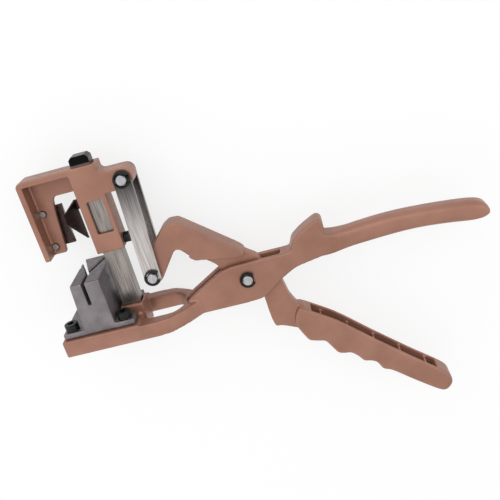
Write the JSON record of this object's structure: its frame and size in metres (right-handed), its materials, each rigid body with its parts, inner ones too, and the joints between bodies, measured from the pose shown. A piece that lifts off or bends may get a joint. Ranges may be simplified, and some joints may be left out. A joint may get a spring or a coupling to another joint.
{
  "type": "grafting tool",
  "caption": "Hand-held lever grafting tool: a hinged grip and links drive a V blade down a square post onto a slotted die block on a cast base.",
  "frame": {"origin": "on the base's flat underside, below the die block's slot, at mid thickness", "axes": "+X along the base towards the handles, +Y along the guide post, +Z through the thickness towards the side that faces up when the tool lies down"},
  "size_m": [0.3074, 0.2403, 0.054],
  "materials": {
    "copper_paint": "copper-brown paint on a die casting, satin",
    "cast_zinc": "as cast, matte",
    "bright_steel": "ground",
    "black_steel": "black oxide",
    "bronze": "plain"
  },
  "bodies": {
    "frame": {"body_frame": "copper_paint", "die_block": "cast_zinc", "block_screw_1": "black_steel", "block_screw_2": "black_steel", "block_screw_3": "black_steel", "block_screw_4": "black_steel", "guide_post": "bright_steel", "post_bolt": "black_steel", "main_pivot_pin": "bright_steel", "pivot_clip_front": "bright_steel", "pivot_clip_rear": "bright_steel"},
    "slider": {"slider_carriage": "copper_paint", "v_blade": "black_steel", "web_screw_upper": "bright_steel", "web_screw_lower": "bright_steel", "column_screw_upper": "black_steel", "column_screw_lower": "black_steel", "adjusting_screw": "black_steel", "upper_link_pin": "bright_steel", "upper_link_clip_front": "bright_steel", "upper_link_clip_rear": "bright_steel"},
    "links": {"link_front": "bright_steel", "link_rear": "bright_steel", "lower_link_pin_front": "bright_steel", "lower_link_pin_rear": "bright_steel", "lower_link_clip_front": "bright_steel", "lower_link_clip_rear": "bright_steel"},
    "lever": {"handle_lever": "copper_paint", "pivot_bush": "bronze"}
  },
  "joints": [
    {"name": "handle_hinge", "type": "hinge", "parent": "frame", "child": "lever", "pos_m": [0.1078, 0.0179, 0], "axis": [0, 0, 1], "range_deg": [0, 35]},
    {"name": "slider_slide", "type": "slide", "parent": "frame", "child": "slider", "axis": [0, -1, 0], "range_m": [0, 0.0398]},
    {"name": "link_hinge", "type": "hinge", "parent": "slider", "child": "links", "pos_m": [0.0472, 0.1106, 0], "axis": [0, 0, 1], "range_deg": [-1.8, 0]}
  ],
  "couplings": [
    {"joint": "slider_slide", "follows": "handle_hinge", "m_per_rad": 0.065},
    {"joint": "link_hinge", "follows": "handle_hinge", "ratio": -0.05}
  ]
}
